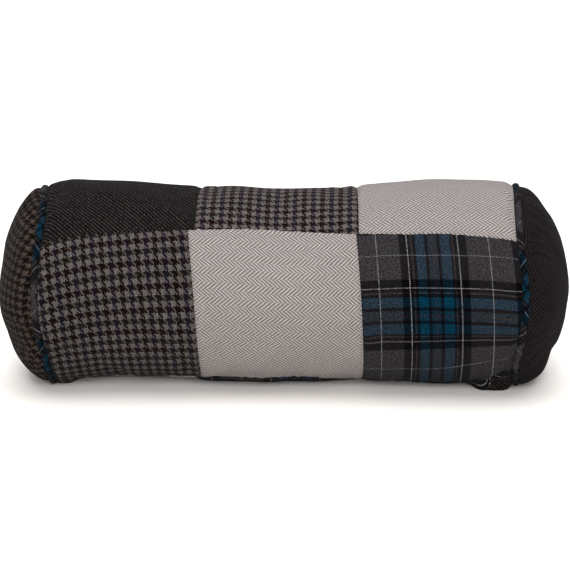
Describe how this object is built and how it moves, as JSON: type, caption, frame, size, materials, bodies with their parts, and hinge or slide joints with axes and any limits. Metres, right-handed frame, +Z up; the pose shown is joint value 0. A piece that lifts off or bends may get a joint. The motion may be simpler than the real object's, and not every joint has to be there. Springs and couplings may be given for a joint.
{
  "type": "bolster cushion",
  "caption": "Round bolster cushion with a patchwork cover, bulging end panels and a piping ring in each end seam.",
  "frame": {"origin": "centre of the underside, on the surface that the cushion rests on", "axes": "+X along the cushion, +Z up, and the front, seen in the picture, faces -Y"},
  "size_m": [0.565, 0.2026, 0.201],
  "materials": {
    "patchwork_cover": "soft matte wool in four weaves: charcoal twill, small check, light herringbone and tartan",
    "tartan_piping": "soft matte wool tartan, cut on the bias over a cord"
  },
  "bodies": {
    "root": {"cushion": "patchwork_cover", "piping_left": "tartan_piping", "piping_right": "tartan_piping"}
  },
  "joints": []
}
